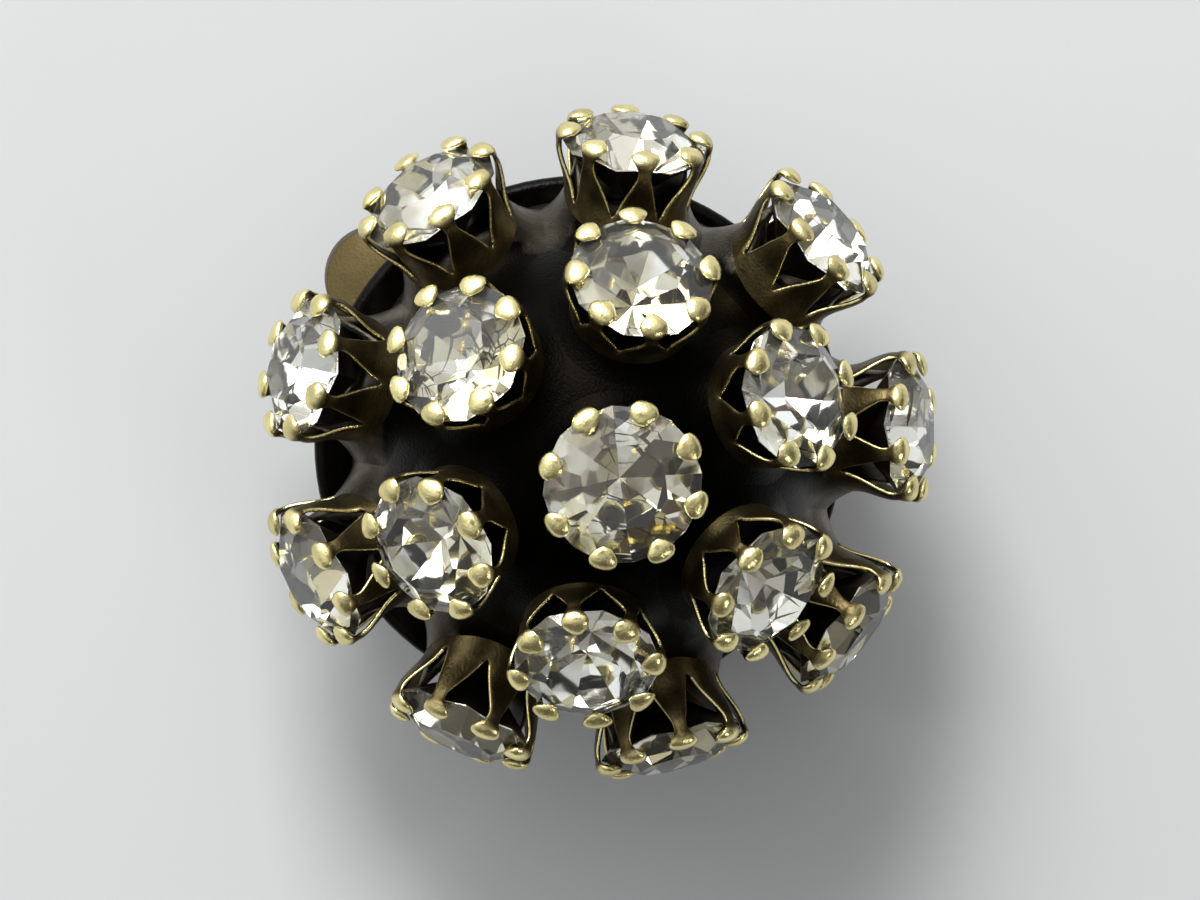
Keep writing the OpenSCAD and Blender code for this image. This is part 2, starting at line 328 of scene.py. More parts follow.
shift = math_node(aged_metal, "MULTIPLY", shift, inside.outputs["Uneven"])
wear_and_painted_light = math_node(aged_metal, "ADD", inside.outputs["Wear and painted light"], shift, clamp=True)
to_worn = math_node(aged_metal, "MULTIPLY", wear_and_painted_light, 2, clamp=True)
past_worn = math_node(aged_metal, "SUBTRACT", wear_and_painted_light, 0.5)
to_bare = math_node(aged_metal, "MULTIPLY", past_worn, 2, clamp=True)
worn = mixed(aged_metal, to_worn, inside.outputs["Aged"], inside.outputs["Worn"])
colour = mixed(aged_metal, to_bare, worn, inside.outputs["Bare"])
aged_rough, bare_rough = inside.outputs["Aged roughness"], inside.outputs["Bare roughness"]
rough = mapped(aged_metal, wear_and_painted_light, 0, 1, aged_rough, bare_rough)
more_rough = math_node(aged_metal, "MULTIPLY", grain.outputs["Fac"], GRAIN_ROUGH)
grain_rough = math_node(aged_metal, "ADD", more_rough, rough)
aged_metal.links.new(colour, outside.inputs["Color"])
aged_metal.links.new(grain_rough, outside.inputs["Roughness"])
aged_metal.links.new(grain.outputs["Fac"], outside.inputs["Grain"])
print("aged_metal", len(aged_metal.nodes), "nodes")

# %% [markdown]
# A metal is the group with its own colours and a mask that says where this piece is worn, and on
# the shell also where painted shade and painted sheen go. A helper puts it into a material, so that
# a metal is only a list of its values. The mask is a plain number, or a function that adds a few
# nodes. The grain lifts the surface by a hundredth of a millimetre or two, which is enough to break
# up a reflection.

# %% Helpers for materials
def new_material(name):
    """A material with an empty tree but for its shader."""
    made = bpy.data.materials.new(name)
    made.use_nodes = True
    return made, made.node_tree, made.node_tree.nodes["Principled BSDF"]


def metal_material(name, bare, worn, aged, wear_and_painted_light, uneven, blotch, bare_rough, aged_rough, bump):
    """Aged metal; wear_and_painted_light is a number, or a function that adds the mask's nodes to the
    tree.
    """
    made, tree, shader = new_material(name)
    mask = wear_and_painted_light(tree) if callable(wear_and_painted_light) else wear_and_painted_light
    sockets = {
        "Bare": (*bare, 1),
        "Worn": (*worn, 1),
        "Aged": (*aged, 1),
        "Wear and painted light": mask,
        "Uneven": uneven,
        "Blotch size": blotch,
        "Bare roughness": bare_rough,
        "Aged roughness": aged_rough,
    }
    skin = add(tree, "ShaderNodeGroup", sockets, node_tree=aged_metal)
    relief = add(tree, "ShaderNodeBump", {"Height": skin.outputs["Grain"], "Distance": bump * MM})
    shader.inputs["Metallic"].default_value = 1
    tree.links.new(skin.outputs["Color"], shader.inputs["Base Color"])
    tree.links.new(skin.outputs["Roughness"], shader.inputs["Roughness"])
    tree.links.new(relief.outputs[0], shader.inputs["Normal"])
    return made


def attribute(tree, name):
    """A number that the mesh carries."""
    return add(tree, "ShaderNodeAttribute", attribute_name=name).outputs["Fac"]


print("helpers for materials:", [h.__name__ for h in (new_material, metal_material, attribute)])

# %% [markdown]
# Where each metal is bright follows from how it was worn, and on the shell also from painted
# light. Claws and leaf edges stand proud, so their mask reads two attributes that the leaf's mesh
# carries. The shell is deep between the cups, so its mask reads the height: black on top between
# the cups, as painted shade over the shell's own black, and grey bronze low down in the saddles,
# as painted sheen over wear. The plate and the clip are worn alike all over, and take a number.
# A metal has three colours, its mask, how uneven and how large its blotches are in millimetres,
# the roughness of bare and of aged metal, and the height of its grain.

# %% Metals
TIP_FROM, TIP_TO, TIP_BARE = 0.60, 0.76, 0.9
NECK_FROM, NECK_TO, NECK_FOOT_WORN, NECK_TOP_WORN = 0.02, 0.30, 0.30, 0.24
LINE_SHARP, LINE_BARE = 9, 0.85
# The shell's mask by height: painted sheen over wear low in the saddles, painted shade over its own
# black on top.
WORN_SHEEN_BELOW, SHADE_BLACK_ABOVE, SADDLE_WORN_SHEEN, TOP_BLACK_SHADE = 1.0, 4.2, 0.5, -0.35


def claw_wear(tree):
    """Claw tips and the free edges of the leaves are worn bright, and the neck is worn bronze."""
    rise = attribute(tree, "rise")
    tip = mapped(tree, rise, TIP_FROM, TIP_TO, 0, TIP_BARE, smooth=True)
    neck = mapped(tree, rise, NECK_FROM, NECK_TO, NECK_FOOT_WORN, NECK_TOP_WORN, smooth=True)
    line = math_node(tree, "POWER", attribute(tree, "edge"), LINE_SHARP)
    line = math_node(tree, "MULTIPLY", line, LINE_BARE)
    worn = math_node(tree, "MAXIMUM", tip, line)
    return math_node(tree, "MAXIMUM", worn, neck, clamp=True)


def wear_sheen_and_shade(tree):
    """The shell is black on top, its own black with painted shade between the cups, and grey bronze
    low down in the saddles, worn and with painted sheen.

    On top the mask goes below 0, so that no blotch shows in the black.
    """
    spot = add(tree, "ShaderNodeTexCoord").outputs["Object"]
    height = add(tree, "ShaderNodeSeparateXYZ", {0: spot}).outputs["Z"]
    low, high = (dome_z + WORN_SHEEN_BELOW) * MM, (dome_z + SHADE_BLACK_ABOVE) * MM
    return mapped(tree, height, low, high, SADDLE_WORN_SHEEN, TOP_BLACK_SHADE, smooth=True)


cup_metal = metal_material(
    "aged_brass",
    bare=(0.98, 0.86, 0.41),
    worn=(0.19, 0.145, 0.062),
    aged=(0.010, 0.007, 0.004),
    wear_and_painted_light=claw_wear,
    uneven=0.75,
    blotch=0.9,
    bare_rough=0.13,
    aged_rough=0.4,
    bump=0.02,
)
# The shell's worn colour low down is also painted sheen, and its aged black on top is also painted
# shade.
shell_metal = metal_material(
    "dark_brass_shade_and_sheen",
    bare=(0.4, 0.38, 0.33),
    worn=(0.10, 0.088, 0.068),
    aged=(0.0015, 0.0013, 0.001),
    wear_and_painted_light=wear_sheen_and_shade,
    uneven=0.7,
    blotch=1.1,
    bare_rough=0.22,
    aged_rough=0.34,
    bump=0.02,
)
plate_metal = metal_material(
    "black_lacquer",
    bare=(0.3, 0.3, 0.3),
    worn=(0.04, 0.037, 0.033),
    aged=(0.003, 0.003, 0.0025),
    wear_and_painted_light=0.05,
    uneven=0.3,
    blotch=2.5,
    bare_rough=0.2,
    aged_rough=0.26,
    bump=0.02,
)
clip_metal = metal_material(
    "satin_clip",
    bare=(0.13, 0.098, 0.042),
    worn=(0.062, 0.047, 0.02),
    aged=(0.035, 0.025, 0.011),
    wear_and_painted_light=0.5,
    uneven=0.7,
    blotch=1.8,
    bare_rough=0.36,
    aged_rough=0.46,
    bump=0.01,
)
print("metals", [m.name for m in (cup_metal, shell_metal, plate_metal, clip_metal)])

# %% [markdown]
# A paste stone is clear glass with a mirror foil on its back. Light that goes in through the top
# comes back from the foil, which is what makes cheap glass sparkle. The top could be drawn as a
# white gloss, but real refraction moves the facets as the view moves. The glass is a little
# uneven, as a pressed stone is, so that its reflections aren't ruler-straight.

# %% Glass
PASTE = {
    "Base Color": (0.98, 0.98, 0.94, 1),
    "Transmission Weight": 0.98,
    "IOR": 1.52,
    "Roughness": 0.02,
}
RIPPLE_SCALE, RIPPLE_H = 700, 0.03
glass, tree, shader = new_material("paste_glass")
for label, value in PASTE.items():
    shader.inputs[label].default_value = value
spot = add(tree, "ShaderNodeTexCoord").outputs["Object"]
ripple = add(tree, "ShaderNodeTexNoise", {"Vector": spot, "Scale": RIPPLE_SCALE, "Detail": 1})
relief = add(tree, "ShaderNodeBump", {"Height": ripple.outputs["Fac"], "Distance": RIPPLE_H * MM})
tree.links.new(relief.outputs[0], shader.inputs["Normal"])
print("glass", len(tree.nodes), "nodes")

# %% [markdown]
# The foil is a mirror on the inside and dark lacquer on the outside, and Backfacing tells which of
# the two is looked at. The lacquer's dark colour is also painted shade, where the outside shows deep
# between the leaves. Inside it is stained, crazed here and there, and dulled facet by facet: each
# face carries a number, tone, so that neighbouring facets differ as they do on old stones.
# Where tone passes 1 the foil has gone black: on old stones as foil that has let damp in, and on
# the lowest stones of the rim also as painted shade.

# %% Silver foil
SILVER, STAINED = (0.98, 0.98, 0.96), (0.62, 0.57, 0.40)
# The outside's dark lacquer colour is also painted shade, where it shows deep between the leaves.
CRACK, LACQUER_AND_SHADE = (0.10, 0.09, 0.06), (0.07, 0.055, 0.04)
STAIN_SCALE, CRAZE_SCALE, PATCH_SCALE = 420, 800, 500
CLOUD_FROM, CLOUD_TO, CLOUD_STAIN, TONE_STAINS = 0.44, 0.66, 0.8, 0.45
CRACKS_FROM, CRACKS_TO, CRACK_WIDTH = 0.56, 0.8, 0.05
BLACK_FROM, BLACK_TO = 1, 1.15
DULL_ROUGH, BRIGHT_ROUGH, LACQUER_ROUGH = 0.08, 0.02, 0.4
foil, tree, shader = new_material("silver_foil")
spot = add(tree, "ShaderNodeTexCoord").outputs["Object"]
cloud = add(tree, "ShaderNodeTexNoise", {"Vector": spot, "Scale": STAIN_SCALE, "Detail": 2})
tone = attribute(tree, "tone")
cloudy = mapped(tree, cloud.outputs["Fac"], CLOUD_FROM, CLOUD_TO, 0, CLOUD_STAIN, smooth=True)
stain = math_node(tree, "MAXIMUM", cloudy, mapped(tree, tone, TONE_STAINS, 1, smooth=True))
silver = mixed(tree, stain, SILVER, STAINED)
cells = {"Vector": spot, "Scale": CRAZE_SCALE}
craze = add(tree, "ShaderNodeTexVoronoi", cells, feature="DISTANCE_TO_EDGE")
patch = add(tree, "ShaderNodeTexNoise", {"Vector": spot, "Scale": PATCH_SCALE, "Detail": 0})
width = mapped(tree, patch.outputs["Fac"], CRACKS_FROM, CRACKS_TO, 0, CRACK_WIDTH)
uncracked = math_node(tree, "GREATER_THAN", craze.outputs["Distance"], width)
blackened = mapped(tree, tone, BLACK_FROM, BLACK_TO, smooth=True)
whole = math_node(tree, "SUBTRACT", uncracked, blackened, clamp=True)
inner = mixed(tree, whole, CRACK, silver)
back = add(tree, "ShaderNodeNewGeometry").outputs["Backfacing"]
seen = mixed(tree, back, LACQUER_AND_SHADE, inner)
tree.links.new(seen, shader.inputs["Base Color"])
hazy = mapped(tree, tone, 0, 1, DULL_ROUGH, BRIGHT_ROUGH, smooth=True)
tree.links.new(mapped(tree, back, 0, 1, LACQUER_ROUGH, hazy), shader.inputs["Roughness"])
shader.inputs["Metallic"].default_value = 1
print("foil", len(tree.nodes), "nodes")

# %% [markdown]
# The surface underneath is matt and pale. A grain of paper or cloth would be easy to add, but one
# plain colour draws the eye less.

# %% Floor paint
FLOOR_COLOUR, FLOOR_ROUGH = (0.42, 0.425, 0.425, 1), 0.75
floor_paint, tree, shader = new_material("pale_floor")
shader.inputs["Base Color"].default_value = FLOOR_COLOUR
shader.inputs["Roughness"].default_value = FLOOR_ROUGH
floor.data.materials.append(floor_paint)
print("floor paint", FLOOR_COLOUR[:3])

# %% [markdown]
# A cup is stamped from thin sheet: a round neck that is cut into eight leaves, each drawn in to a
# stem and bent over the stone as a claw with a swollen tip. Notches could be cut out of a tube, but
# the rubbed edges need rows of faces that follow them. All eight leaves are alike, so one is
# modelled, as a strip of rows from the foot to the tip. A row is a radius, a height, half a width
# and a thickness. Two attributes go with its points: how far up they are, and how near an edge.

# %% Leaf of a cup
STONE_R = {"centre": 2.9, "inner": 2.65, "outer": 2.65}
SHELL_R, FOOT_SINK = 8.25, 0.4
CLAWS, SHEET_T, TIP_DOMED = 8, 0.18, 0.6
COLUMNS = (-1, -0.55, 0, 0.55, 1)
NECK_SHEET_R, NECK_SPREAD, RIM_OUT = 2.17, 0.1, 0.14
FOOT_Z, FOOT_H = -3.2, 1.7
WAIST_Z, WAIST_H = -1.75, 1.65
NOTCH_DEPTH, NOTCH_FLOOR = 2.05, 8.75
LEAF_TOP, LEAF_TOP_Z, LEAF_CURVE = 0.25, -0.25, 1.1
LEAF_SHARES = (0.1, 0.26, 0.48, 0.74, 1.0)
STEM_Z = -0.1
# A row of the claw: out from the stone's edge, height, half the width, thickness.
BEND = [
    (0.15, 0.06, 0.27, 0.19),
    (0.19, 0.22, 0.36, 0.25),
    (0.13, 0.38, 0.50, 0.36),
    (-0.03, 0.49, 0.58, 0.44),
    (-0.23, 0.54, 0.52, 0.42),
    (-0.43, 0.58, 0.34, 0.32),
    (-0.62, 0.61, 0.12, 0.16),
]


def smooth_step(t):
    """Eases a share of a way from 0 to 1, flat at both ends. It takes a number or an array."""
    t = np.clip(t, 0, 1)
    return t * t * (3 - 2 * t)


def cup_radius(z, stone_r):
    """Radius of the sheet's middle: a straight neck that spreads from the waist up to the girdle."""
    neck = NECK_SHEET_R + NECK_SPREAD * smooth_step((z - FOOT_Z) / FOOT_H)
    flare = stone_r + RIM_OUT - NECK_SHEET_R - NECK_SPREAD
    return neck + flare * smooth_step((z - WAIST_Z) / WAIST_H)


def leaf_rows(reach, stone_r):
    """Rows from the foot to the claw's tip: radius, height, half width and thickness."""
    foot = SHELL_R - FOOT_SINK - reach
    apex = max(-NOTCH_DEPTH, NOTCH_FLOOR - reach)
    rows = [(cup_radius(z, stone_r), z, None, SHEET_T) for z in (foot, (foot + apex) / 2, apex)]
    for share in LEAF_SHARES:
        z = apex + (LEAF_TOP_Z - apex) * share
        radius = cup_radius(z, stone_r)
        pitch = math.pi * radius / CLAWS
        half_width = LEAF_TOP + (pitch - LEAF_TOP) * (1 - share) ** LEAF_CURVE
        rows.append((radius, z, half_width, SHEET_T))
    rows.append((cup_radius(STEM_Z, stone_r), STEM_Z, LEAF_TOP, SHEET_T))
    return rows + [(stone_r + out, z, half, thick) for out, z, half, thick in BEND]


def claw_leaf(name, reach, stone_r):
    """One eighth of a cup with its claw. Its sides are open where they meet the next leaves."""
    rows = leaf_rows(reach, stone_r)
    apex_row = next(k for k, row in enumerate(rows) if row[2]) - 1
    outer, inner, points, rise, edge = [], [], [], [], []
    for k, (r, z, half_width, thick) in enumerate(rows):
        before, after = rows[max(k - 1, 0)], rows[min(k + 1, len(rows) - 1)]
        along = Vector((after[0] - before[0], after[1] - before[1])).normalized()
        domed = TIP_DOMED if k >= len(rows) - len(BEND) else 0.0
        for ring, side in ((outer, 1), (inner, -1)):
            span = math.pi / CLAWS if half_width is None else half_width / r
            ring.append([])
            for s in COLUMNS:
                out = Vector((along.y, -along.x)) * thick / 2 * (1 - domed * s * s)
                spot_r, spot_z = r + side * out.x, z + side * out.y
                ring[-1].append(len(points))
                points.append((spot_r * math.cos(s * span), spot_r * math.sin(s * span), spot_z))
                rise.append(k / (len(rows) - 1))
                edge.append(abs(s) if k > apex_row else 0)
    faces = []
    last = len(COLUMNS) - 1
    for k in range(len(rows) - 1):
        for c in range(last):
            faces.append((outer[k][c], outer[k][c + 1], outer[k + 1][c + 1], outer[k + 1][c]))
            faces.append((inner[k][c + 1], inner[k][c], inner[k + 1][c], inner[k + 1][c + 1]))
        if k >= apex_row:
            faces.append((inner[k][0], outer[k][0], outer[k + 1][0], inner[k + 1][0]))
            faces.append((outer[k][last], inner[k][last], inner[k + 1][last], outer[k + 1][last]))
    for c in range(last):
        faces.append((inner[0][c], inner[0][c + 1], outer[0][c + 1], outer[0][c]))
        faces.append((outer[-1][c], outer[-1][c + 1], inner[-1][c + 1], inner[-1][c]))
    made = placed_mesh(name, points, faces, smooth=True)
    for label, values in (("rise", rise), ("edge", edge)):
        made.data.attributes.new(label, "FLOAT", "POINT").data.foreach_set("value", values)
    return made


for ring, stone_r in STONE_R.items():
    rows = leaf_rows(REACH[ring], stone_r)
    print(ring, "leaf:", len(rows), "rows from", round(rows[0][1], 2), "to", rows[-1][1], "mm")

# %% [markdown]
# The leaf repeats eight times round a cup, and the cup sixteen times over the dome. A loop could
# copy it, but a Geometry Nodes tree has the leaf, the number of claws and the unevenness as inputs
# to play with. It instances the leaf round a point, joins and rounds the ring, and puts it on every
# seat, turned by a quaternion that the seat carries. Handwork is uneven, so a noise with its own
# seed then pushes the metal about, most at the tips and not at all at the foot.

# %% Geometry Nodes: claws round a cup, cups on their seats
JOIN_DISTANCE = 0.002
CUP_UNEVEN, CUP_SEED = 0.16, 3.0
UNEVEN_SCALE, NOISE_MIDDLE = 650, (0.5, 0.5, 0.5)
cups_tree, inside, outside = new_group(
    "claw_cups",
    "GeometryNodeTree",
    [
        ("Seats", "NodeSocketGeometry", None),
        ("Leaf", "NodeSocketObject", None),
        ("Claws", "NodeSocketInt", CLAWS),
        ("Unevenness", "NodeSocketFloat", CUP_UNEVEN * MM),
        ("Seed", "NodeSocketFloat", CUP_SEED),
        ("Metal", "NodeSocketMaterial", None),
    ],
    [("Geometry", "NodeSocketGeometry")],
)
seat_points, leaf, claws, uneven, seed, metal = inside.outputs[:6]
leaf = add(cups_tree, "GeometryNodeObjectInfo", {"Object": leaf, "As Instance": True})
spots = add(cups_tree, "GeometryNodeMeshLine", {"Count": claws, "Offset": (0, 0, 0)})
index = add(cups_tree, "GeometryNodeInputIndex").outputs[0]
step = math_node(cups_tree, "DIVIDE", 2 * math.pi, claws)
angle = math_node(cups_tree, "MULTIPLY", index, step)
spin = add(cups_tree, "ShaderNodeCombineXYZ", {"Z": angle}).outputs[0]
ring = add(
    cups_tree,
    "GeometryNodeInstanceOnPoints",
    {"Points": spots.outputs[0], "Instance": leaf.outputs["Geometry"], "Rotation": spin},
)
ring = add(cups_tree, "GeometryNodeRealizeInstances", {0: ring.outputs[0]})
joining = {"Geometry": ring.outputs[0], "Distance": JOIN_DISTANCE * MM}
ring = add(cups_tree, "GeometryNodeMergeByDistance", joining)
ring = add(cups_tree, "GeometryNodeSubdivisionSurface", {"Mesh": ring.outputs[0], "Level": 1})
facing = add(cups_tree, "GeometryNodeInputNamedAttribute", {"Name": "facing"}, data_type="QUATERNION")
cups = add(
    cups_tree,
    "GeometryNodeInstanceOnPoints",
    {"Points": seat_points, "Instance": ring.outputs[0], "Rotation": facing.outputs["Attribute"]},
)
cups = add(cups_tree, "GeometryNodeRealizeInstances", {0: cups.outputs[0]})
where = add(cups_tree, "GeometryNodeInputPosition").outputs[0]
noise = add(
    cups_tree,
    "ShaderNodeTexNoise",
    {"Vector": where, "W": seed, "Scale": UNEVEN_SCALE, "Detail": 0},
    noise_dimensions="4D",
)
about_zero = {0: noise.outputs["Color"], 1: NOISE_MIDDLE}
push = add(cups_tree, "ShaderNodeVectorMath", about_zero, operation="SUBTRACT")
rise = add(cups_tree, "GeometryNodeInputNamedAttribute", {"Name": "rise"}, data_type="FLOAT")
most = math_node(cups_tree, "MULTIPLY", rise.outputs["Attribute"], uneven)
push = add(cups_tree, "ShaderNodeVectorMath", {0: push.outputs[0], "Scale": most}, operation="SCALE")
pushed = {"Geometry": cups.outputs[0], "Offset": push.outputs[0]}
cups = add(cups_tree, "GeometryNodeSetPosition", pushed)
dressed = {"Geometry": cups.outputs[0], "Material": metal}
cups = add(cups_tree, "GeometryNodeSetMaterial", dressed)
cups_tree.links.new(cups.outputs[0], outside.inputs[0])
print("claw_cups", len(cups_tree.nodes), "nodes")

# %% [markdown]
# The tree is set on a mesh that is only the seats' points, one for each cup of a group. It could
# stay live, but the necks of the outer cups were filed off level with the shell's foot, so that
# nothing of them goes lower. So the tree's result is kept as a plain mesh, which can be trimmed.

# %% Cups of the three groups
SHELL_FOOT = -1.15


def socket_id(tree, label):
    """The identifier of a tree's input, by which a modifier sets it."""
    for item in tree.interface.items_tree:
        if item.name == label and item.in_out == "INPUT":
            return item.identifier


def plain(obj):
    """Turns an object with modifiers into a plain mesh."""
    bpy.context.view_layer.update()
    graph = bpy.context.evaluated_depsgraph_get()
    live = obj.evaluated_get(graph)
    mesh = bpy.data.meshes.new_from_object(live, preserve_all_data_layers=True, depsgraph=graph)
    obj.modifiers.clear()
    obj.data = mesh


def cups_of(ring, name):
    """The cups of one ring as one piece."""
    leaf = claw_leaf(f"leaf_{ring}", REACH[ring], STONE_R[ring])
    own = [matrix for kind, matrix in seats.values() if kind == ring]
    made = placed_mesh(name, [matrix.translation for matrix in own], [])
    facing = made.data.attributes.new("facing", "QUATERNION", "POINT")
    facing.data.foreach_set("value", [x for matrix in own for x in matrix.to_quaternion()])
    grow = made.modifiers.new("cups", "NODES")
    grow.node_group = cups_tree
    inputs = {"Leaf": leaf, "Claws": CLAWS, "Metal": cup_metal}
    inputs |= {"Unevenness": CUP_UNEVEN * MM, "Seed": CUP_SEED}
    for label, value in inputs.items():
        grow[socket_id(cups_tree, label)] = value
    plain(made)
    bpy.data.objects.remove(leaf)
    for vertex in made.data.vertices:
        vertex.co.z = max(vertex.co.z, (dome_z + SHELL_FOOT) * MM)
    print(name, len(made.data.polygons), "faces")
    return made


cup_pieces = [
    cups_of("centre", "cup_centre"),
    cups_of("inner", "cups_inner"),
    cups_of("outer", "cups_outer"),
]

# %% [markdown]
# The shell is a dome of sheet brass on a short upright skirt. A ball could be cut off and given a
# wall, but the dome has a shoulder where it runs into the skirt. So it is turned from a profile, as
# on a lathe: down the outside, round the foot and up the inside, which makes a closed body with a
# wall. Its top is closed with a fan of triangles, on both sides.

# %% Shell
CAP_ANGLE = math.radians(76)
CAP_ROWS, SKIRT_ROWS, AROUND = 60, 25, 180
SKIRT_R, SHOULDER, WALL = 8.9, 1.7, 0.5
cap_r, cap_z = SHELL_R * math.sin(CAP_ANGLE), SHELL_R * math.cos(CAP_ANGLE)


def shell_radius(z):
    """The shell's outer radius at a height from the dome's middle. It takes numbers or arrays."""
    ball = np.sqrt(np.maximum(SHELL_R**2 - np.square(z), 0))
    way_down = (cap_z - z) / (cap_z - SHELL_FOOT)
    skirt = cap_r + (SKIRT_R - cap_r) * smooth_step(way_down * SHOULDER)
    return np.where(np.asarray(z) > cap_z, ball, skirt)


def turned(name, profile, around):
    """A closed body turned from a profile of (radius, height) that starts and ends on the axis."""
    points = [(0, 0, profile[0][1])]
    for r, z in profile[1:-1]:
        for k in range(around):
            a = 2 * math.pi * k / around
            points.append((r * math.cos(a), r * math.sin(a), z))
    points.append((0, 0, profile[-1][1]))
    faces = []
    rings = len(profile) - 2
    for k in range(around):
        n = (k + 1) % around
        faces.append((0, 1 + k, 1 + n))
        for j in range(rings - 1):
            a, b = 1 + j * around, 1 + (j + 1) * around
            faces.append((a + k, b + k, b + n, a + n))
        last = 1 + (rings - 1) * around
        faces.append((last + k, len(points) - 1, last + n))
    return placed_mesh(name, points, faces, smooth=True)


def faced_outwards(piece):
    """Makes all faces of a closed body point out of it."""
    bm = bmesh.new()
    bm.from_mesh(piece.data)
    bmesh.ops.recalc_face_normals(bm, faces=bm.faces)
    bm.to_mesh(piece.data)
    bm.free()


outer_wall = []
for k in range(CAP_ROWS):
    angle = CAP_ANGLE * k / CAP_ROWS
    outer_wall.append((SHELL_R * math.sin(angle), SHELL_R * math.cos(angle)))
for k in range(SKIRT_ROWS):
    z = cap_z + (SHELL_FOOT - cap_z) * k / (SKIRT_ROWS - 1)
    outer_wall.append((float(shell_radius(z)), z))
inner_wall = []
for r, z in outer_wall:
    away = math.hypot(r, z)
    inner_wall.append((r - WALL * r / away, z - WALL * z / away))
inner_wall[-1] = (SKIRT_R - WALL, SHELL_FOOT)
profile = [(r, z + dome_z) for r, z in outer_wall + inner_wall[::-1]]
shell = turned("shell", profile, AROUND)
faced_outwards(shell)
shell.data.materials.append(shell_metal)
print("shell", len(shell.data.polygons), "faces")

# %% [markdown]
# Solder ran up round the neck of each cup, so the shell sweeps up to it in a smooth collar. The
# cups round the rim stand so close that their collars join in saddles, higher at the sides. To
# blend the solids themselves would be slow and fragile, so a collar is laid over the joint as a
# ring of sections. Each goes out from the neck over the shell's own surface, which is found along
# the cup's axis by halving a span, and comes back under it, so the ring is closed.

# %% Collars round the necks
NECK_R = 2.02
COLLAR_W, COLLAR_H, SADDLE_H = 1.35, 0.7, 2.4
COLLAR_SINK, COLLAR_DEPTH, FOOT_CLEAR = 0.03, 0.3, 0.01
SECTIONS, STEPS, UNDER_STEPS = 72, 14, (0.66, 0.33, 0.0)
SPAN_LOW, SPAN_HIGH, HALVINGS = -9.0, -0.5, 40
TINY = 1e-6


def shell_height(side, axis):
    """How far down a cup's axis the shell's surface lies, from points beside its stone's middle."""
    low, high = np.full(len(side), SPAN_LOW), np.full(len(side), SPAN_HIGH)
    for _ in range(HALVINGS):
        middle = (low + high) / 2
        spots = side + middle[:, None] * axis
        beyond = np.hypot(spots[:, 0], spots[:, 1]) > shell_radius(spots[:, 2])
        beyond |= spots[:, 2] > SHELL_R
        high = np.where(beyond, middle, high)
        low = np.where(beyond, low, middle)
    return (low + high) / 2


def collar(ring, matrix):
    """Points and faces of one cup's collar, higher towards the neighbours in the outer ring."""
    turn = np.array(matrix.to_3x3())
    axis = turn[:, 2]
    stone = np.array(matrix.translation - dome_middle)
    level = np.array((-axis[1], axis[0], 0)) / max(math.hypot(axis[0], axis[1]), TINY)
    around = np.linspace(0, 2 * math.pi, SECTIONS, endpoint=False)
    ways = np.cos(around)[:, None] * turn[:, 0] + np.sin(around)[:, None] * turn[:, 1]
    sideways = np.abs(ways @ level) if ring == "outer" else np.zeros(SECTIONS)
    height = COLLAR_H + SADDLE_H * sideways**3
    rows = []
    for k in range(STEPS + 1):
        t = k / STEPS
        side = stone + ways * (NECK_R + COLLAR_W * t)
        lift = height * (1 - math.sqrt(1 - (1 - t) ** 2)) - COLLAR_SINK
        rows.append(side + (shell_height(side, axis) + lift)[:, None] * axis)
    for t in UNDER_STEPS:
        side = stone + ways * (NECK_R + COLLAR_W * t)
        rows.append(side + (shell_height(side, axis) - COLLAR_DEPTH)[:, None] * axis)
    spots = np.concatenate(rows)
    spots[:, 2] = np.maximum(spots[:, 2], SHELL_FOOT + FOOT_CLEAR)
    faces = []
    for j in range(len(rows)):
        a, b = j * SECTIONS, (j + 1) % len(rows) * SECTIONS
        for k in range(SECTIONS):
            n = (k + 1) % SECTIONS
            faces.append((a + k, a + n, b + n, b + k))
    return spots + np.array(dome_middle), faces


points, faces = [], []
for ring, matrix in seats.values():
    own_points, own_faces = collar(ring, matrix)
    faces += [tuple(len(points) + x for x in face) for face in own_faces]
    points += own_points.tolist()
collars = placed_mesh("collars", points, faces, smooth=True)
faced_outwards(collars)
collars.data.materials.append(shell_metal)
print("collars", len(collars.data.polygons), "faces")

# %% [markdown]
# Each stone is pressed glass: a flat table, eight crown facets, a thin girdle that waves up and
# down where the facets meet it, and a pavilion of two rows of facets down to a point. It could be
# cut from a block by planes, but it is quicker to work out where the facets' corners lie. A facet
# has to be flat, so the girdle's heights follow from the slopes of the facets. Each stone differs
# a little in its cut, so every corner is a little out of place, by a seed of the stone's own.

# %% Corners of a stone
FACETS = 8
TABLE_SHARE, PAVILION_MIDDLE = 3.0 / 5.3, 0.56
PAVILION_H = {"centre": 2.3, "inner": 1.8, "outer": 2.05}
GIRDLE_HIGH, GIRDLE_EDGE, CULET_R = 0.1, 0.05, 0.06
CORNER_UNEVEN, CUT_UNEVEN = 0.02, 0.07


